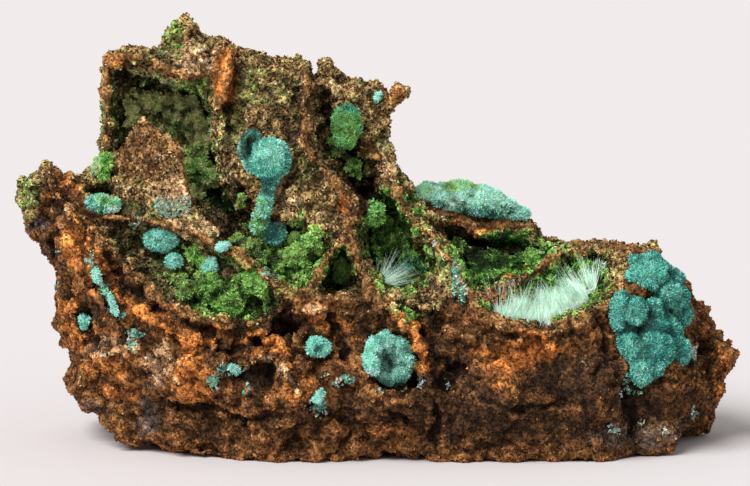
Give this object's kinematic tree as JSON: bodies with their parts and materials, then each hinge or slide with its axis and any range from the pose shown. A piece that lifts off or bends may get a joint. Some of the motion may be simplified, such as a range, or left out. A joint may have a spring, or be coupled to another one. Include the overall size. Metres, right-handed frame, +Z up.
{
  "type": "rosasite with conichalcite specimen",
  "caption": "Cabinet mineral specimen: rusty limonite boxwork with turquoise rosasite balls, green conichalcite crusts and pale needle sprays; rests on its base.",
  "frame": {"origin": "middle of the box round the specimen, on the surface that it rests on", "axes": "+X along the specimen's length, to the right as the crystals are seen; +Y away from the viewer, into its plain back; +Z up"},
  "size_m": [0.121, 0.0508, 0.0711],
  "materials": {
    "limonite": "rough, rusty brown to nearly black, earthy",
    "rosasite": "velvety turquoise balls of fine needles",
    "conichalcite": "bright grass-green sugary crust",
    "aurichalcite": "silky pale blue-green needles"
  },
  "bodies": {
    "root": {"aurichalcite_spray_middle": "aurichalcite", "aurichalcite_spray_right": "aurichalcite", "boxwork_matrix": "limonite", "conichalcite_ball_upper": "conichalcite", "conichalcite_column_lobe": "conichalcite", "conichalcite_crust_central": "conichalcite", "conichalcite_crust_crevice": "conichalcite", "conichalcite_crust_left_basin": "conichalcite", "conichalcite_crust_left_basin_2": "conichalcite", "conichalcite_crust_lower_cell": "conichalcite", "conichalcite_crust_middle": "conichalcite", "conichalcite_crust_middle_2": "conichalcite", "conichalcite_crust_needle_cell": "conichalcite", "conichalcite_crust_needle_cell_2": "conichalcite", "conichalcite_crust_needle_side": "conichalcite", "conichalcite_crust_right_basin": "conichalcite", "conichalcite_crust_triangle": "conichalcite", "conichalcite_crust_upper_chamber": "conichalcite", "conichalcite_tuft_left": "conichalcite", "rosasite_ball_and_stalk": "rosasite", "rosasite_ball_and_stalk_2": "rosasite", "rosasite_ball_front": "rosasite", "rosasite_ball_front_small": "rosasite", "rosasite_ball_left_large": "rosasite", "rosasite_ball_left_pale": "rosasite", "rosasite_ball_left_round": "rosasite", "rosasite_ball_left_upper": "rosasite", "rosasite_drape": "rosasite", "rosasite_flake_low": "rosasite", "rosasite_flake_recess": "rosasite", "rosasite_ridge_cluster": "rosasite", "rosasite_shoulder_crust": "rosasite", "rosasite_side_pocket_ball": "rosasite", "rosasite_speck_upper": "rosasite", "rosasite_vein_left": "rosasite"}
  },
  "joints": []
}
